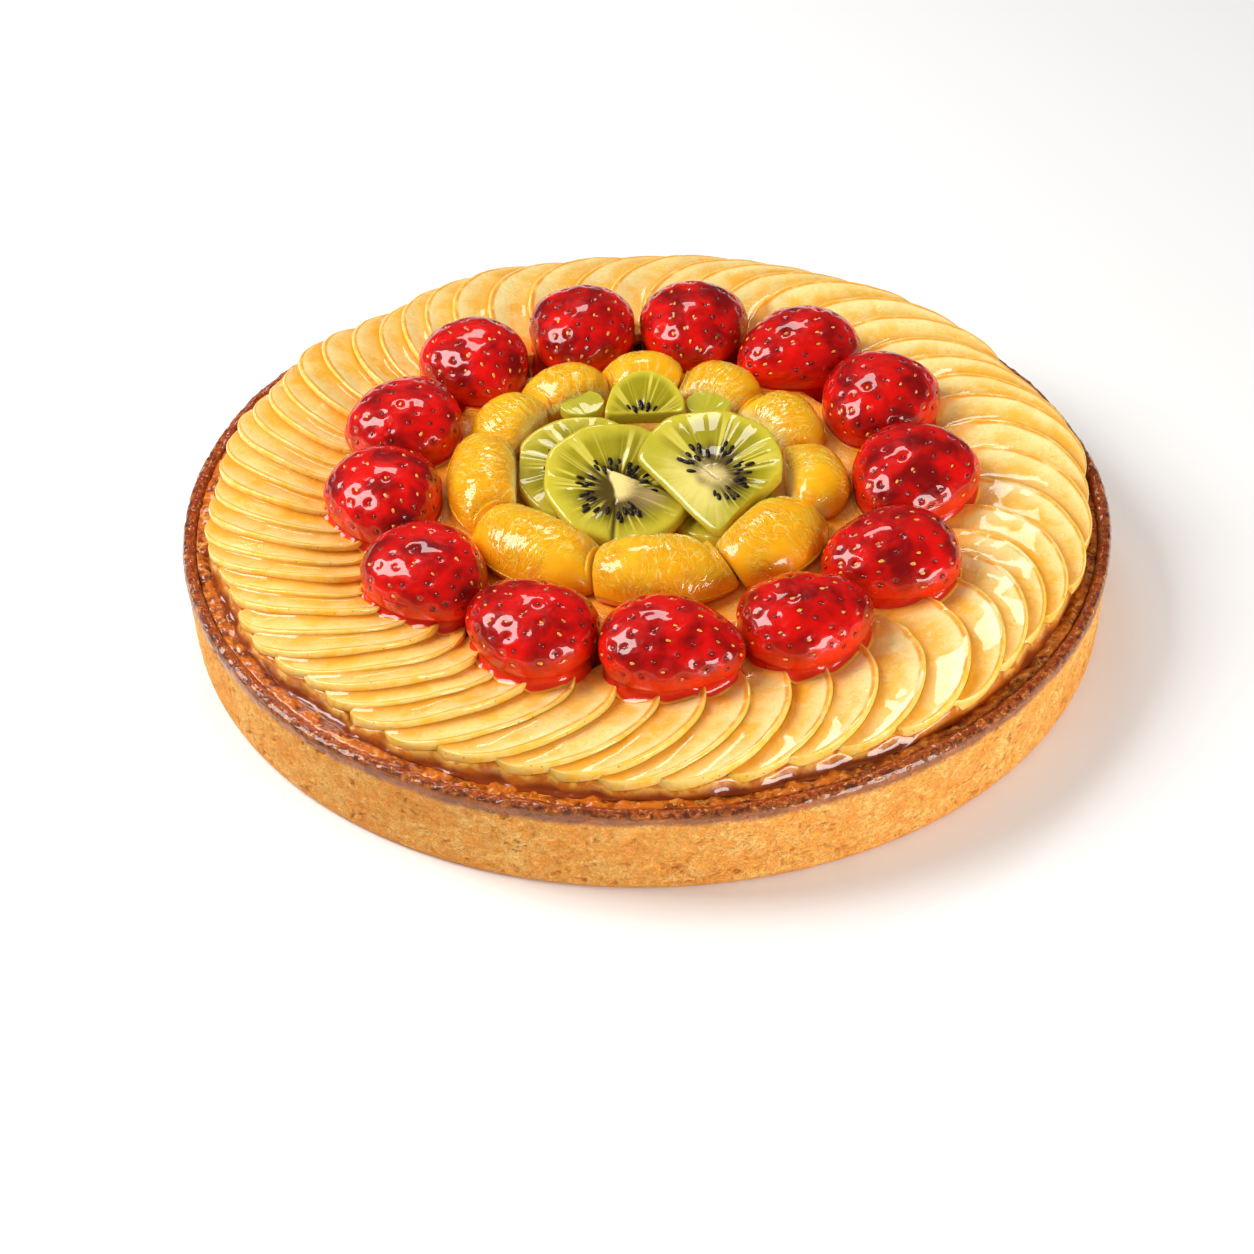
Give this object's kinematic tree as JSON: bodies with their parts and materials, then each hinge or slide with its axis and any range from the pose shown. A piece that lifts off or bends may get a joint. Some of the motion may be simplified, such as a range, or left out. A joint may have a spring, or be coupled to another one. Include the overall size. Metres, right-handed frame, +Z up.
{
  "type": "fruit tart",
  "caption": "Round fruit tart in a plain-sided crust, topped with fanned apple slices, strawberry halves, mandarin segments and kiwi slices under a clear glaze.",
  "frame": {"origin": "centre of the tart's foot, in the plane it rests on", "axes": "+Z up, out of the fruit side; +X to the right and -Y towards the viewer of the picture"},
  "size_m": [0.26, 0.26, 0.0504],
  "materials": {
    "crust": "baked shortcrust, dry and grainy",
    "filling": "baked filling, browned and glazed",
    "apple": "raw apple flesh, glazed",
    "strawberry": "ripe strawberry skin, glazed",
    "mandarin": "peeled mandarin pulp, glazed",
    "kiwi": "sliced kiwi flesh, glazed"
  },
  "bodies": {
    "root": {"crust": "crust", "filling": "filling", "apple_01": "apple", "apple_02": "apple", "apple_03": "apple", "apple_04": "apple", "apple_05": "apple", "apple_06": "apple", "apple_07": "apple", "apple_08": "apple", "apple_09": "apple", "apple_10": "apple", "apple_11": "apple", "apple_12": "apple", "apple_13": "apple", "apple_14": "apple", "apple_15": "apple", "apple_16": "apple", "apple_17": "apple", "apple_18": "apple", "apple_19": "apple", "apple_20": "apple", "apple_21": "apple", "apple_22": "apple", "apple_23": "apple", "apple_24": "apple", "apple_25": "apple", "apple_26": "apple", "apple_27": "apple", "apple_28": "apple", "strawberry_01": "strawberry", "strawberry_02": "strawberry", "strawberry_03": "strawberry", "strawberry_04": "strawberry", "strawberry_05": "strawberry", "strawberry_06": "strawberry", "strawberry_07": "strawberry", "strawberry_08": "strawberry", "strawberry_09": "strawberry", "strawberry_10": "strawberry", "strawberry_11": "strawberry", "strawberry_12": "strawberry", "strawberry_13": "strawberry", "mandarin_01": "mandarin", "mandarin_02": "mandarin", "mandarin_03": "mandarin", "mandarin_04": "mandarin", "mandarin_05": "mandarin", "mandarin_06": "mandarin", "mandarin_07": "mandarin", "mandarin_08": "mandarin", "mandarin_09": "mandarin", "mandarin_10": "mandarin", "kiwi_back": "kiwi", "kiwi_back_left": "kiwi", "kiwi_back_right": "kiwi", "kiwi_left": "kiwi", "kiwi_under": "kiwi", "kiwi_front": "kiwi", "kiwi_top": "kiwi"}
  },
  "joints": []
}
